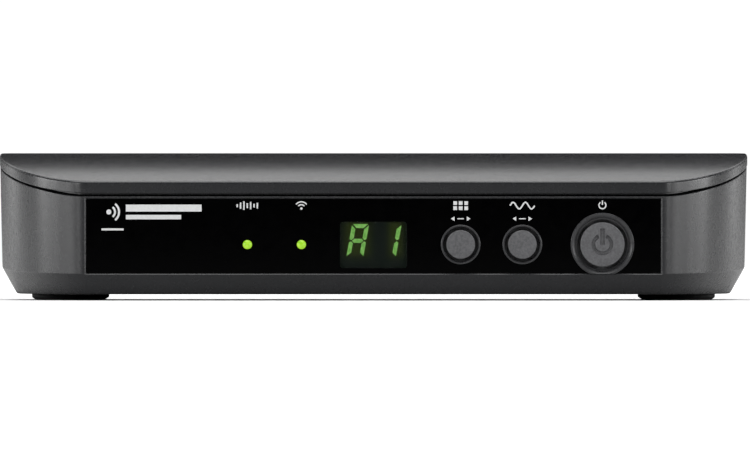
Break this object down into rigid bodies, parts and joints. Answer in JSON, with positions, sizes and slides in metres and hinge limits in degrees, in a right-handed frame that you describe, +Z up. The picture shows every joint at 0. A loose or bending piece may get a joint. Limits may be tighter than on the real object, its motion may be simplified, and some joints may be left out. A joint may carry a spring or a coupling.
{
  "type": "wireless receiver unit",
  "caption": "Desktop wireless microphone receiver: low wedge-shaped case, black front panel with display, lights and push buttons, audio and power sockets at the rear.",
  "frame": {"origin": "on the surface that the feet stand on, at the middle of the overall width and depth", "axes": "+X to the right seen from the front, +Y from the front to the rear, +Z up"},
  "size_m": [0.188, 0.104, 0.0368],
  "materials": {
    "case_plastic": "fine matte texture, dark grey",
    "button_plastic": "fine matte texture, mid grey",
    "panel_gloss": "gloss black",
    "window_tint": "gloss, dark green tint",
    "light_pipe": "clear lime green when lit",
    "dark_plastic": "satin black",
    "board_green": "solder mask",
    "component_black": "moulded black",
    "tinned_steel": "tinned",
    "nickel": "nickel plated",
    "black_steel": "black zinc",
    "brass": "bright wire",
    "rubber": "matte black"
  },
  "bodies": {
    "receiver": {"bottom_tray": "case_plastic", "top_cover": "case_plastic", "front_panel": "panel_gloss", "display_window": "window_tint", "display_module": "dark_plastic", "audio_light_pipe": "light_pipe", "ready_light_pipe": "light_pipe", "audio_led": "tinned_steel", "ready_led": "tinned_steel", "group_switch": "component_black", "channel_switch": "component_black", "power_switch": "component_black", "control_board": "board_green", "main_board": "board_green", "board_header": "dark_plastic", "rf_shield": "tinned_steel", "processor_chip": "component_black", "audio_chip": "component_black", "voltage_regulator": "component_black", "filter_capacitor_1": "tinned_steel", "filter_capacitor_2": "tinned_steel", "filter_capacitor_3": "tinned_steel", "antenna_left": "brass", "antenna_right": "brass", "xlr_shell": "dark_plastic", "xlr_pin_1": "nickel", "xlr_pin_2": "nickel", "xlr_pin_3": "nickel", "xlr_screw_1": "black_steel", "xlr_screw_2": "black_steel", "jack_body": "dark_plastic", "jack_washer": "nickel", "jack_nut": "nickel", "dc_inlet": "dark_plastic", "dc_pin": "nickel", "foot_front_left": "rubber", "foot_front_right": "rubber", "foot_rear_left": "rubber", "foot_rear_right": "rubber", "case_screw_front_left": "black_steel", "case_screw_front_right": "black_steel", "case_screw_rear_left": "black_steel", "case_screw_rear_right": "black_steel", "board_screw_front_left": "tinned_steel", "board_screw_front_right": "tinned_steel", "board_screw_rear_left": "tinned_steel", "board_screw_rear_right": "tinned_steel"},
    "group_key": {"group_button": "button_plastic", "group_plunger": "dark_plastic"},
    "channel_key": {"channel_button": "button_plastic", "channel_plunger": "dark_plastic"},
    "power_key": {"power_button": "button_plastic", "power_plunger": "dark_plastic"}
  },
  "joints": [
    {"name": "group_press", "type": "slide", "parent": "receiver", "child": "group_key", "axis": [0, 1, 0], "range_m": [0, 0.0005], "stiffness_N_per_m": 300, "springref_m": -0.001},
    {"name": "channel_press", "type": "slide", "parent": "receiver", "child": "channel_key", "axis": [0, 1, 0], "range_m": [0, 0.0005], "stiffness_N_per_m": 300, "springref_m": -0.001},
    {"name": "power_press", "type": "slide", "parent": "receiver", "child": "power_key", "axis": [0, 1, 0], "range_m": [0, 0.0018], "stiffness_N_per_m": 300, "springref_m": -0.001}
  ]
}
